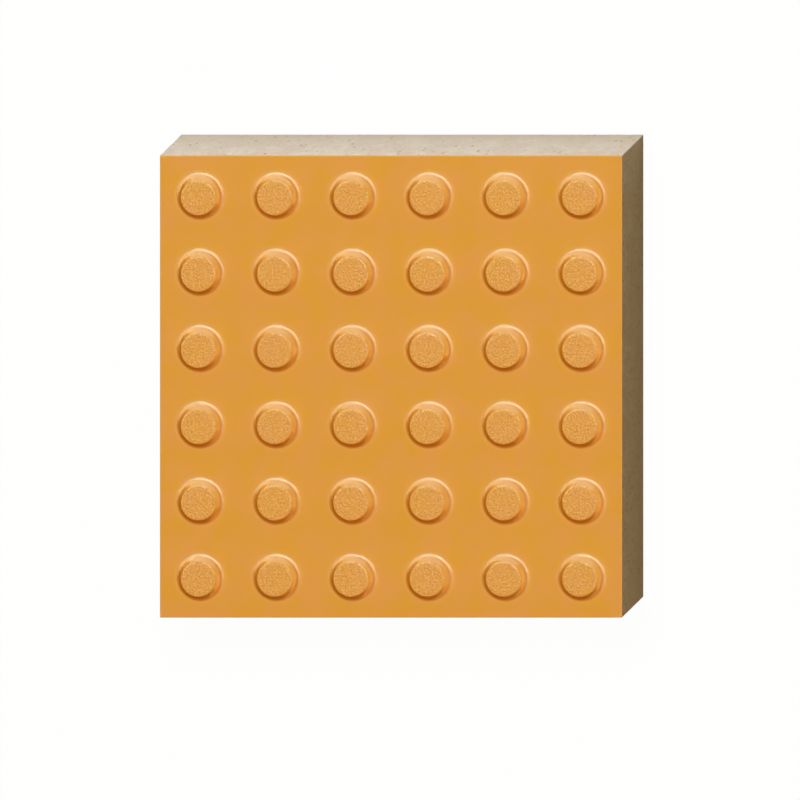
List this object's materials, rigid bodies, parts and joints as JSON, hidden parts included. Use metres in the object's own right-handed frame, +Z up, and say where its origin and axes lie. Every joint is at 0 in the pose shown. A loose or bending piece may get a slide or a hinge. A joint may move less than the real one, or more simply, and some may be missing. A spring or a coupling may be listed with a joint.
{
  "type": "tactile paving slab",
  "caption": "Square fired ceramic paving slab with raised round warning buttons on its coloured walking face and a ribbed back for mortar.",
  "frame": {"origin": "centre of the bedding plane, on the underside of the slab", "axes": "+Z up through the buttons, square to the walking face; +X and +Y along the slab's sides"},
  "size_m": [0.3, 0.3, 0.044],
  "materials": {
    "slab_ceramic": "satin, fine anti-slip grain on the buttons, raw body on the sides and back"
  },
  "bodies": {
    "root": {"tactile_slab": "slab_ceramic"}
  },
  "joints": []
}
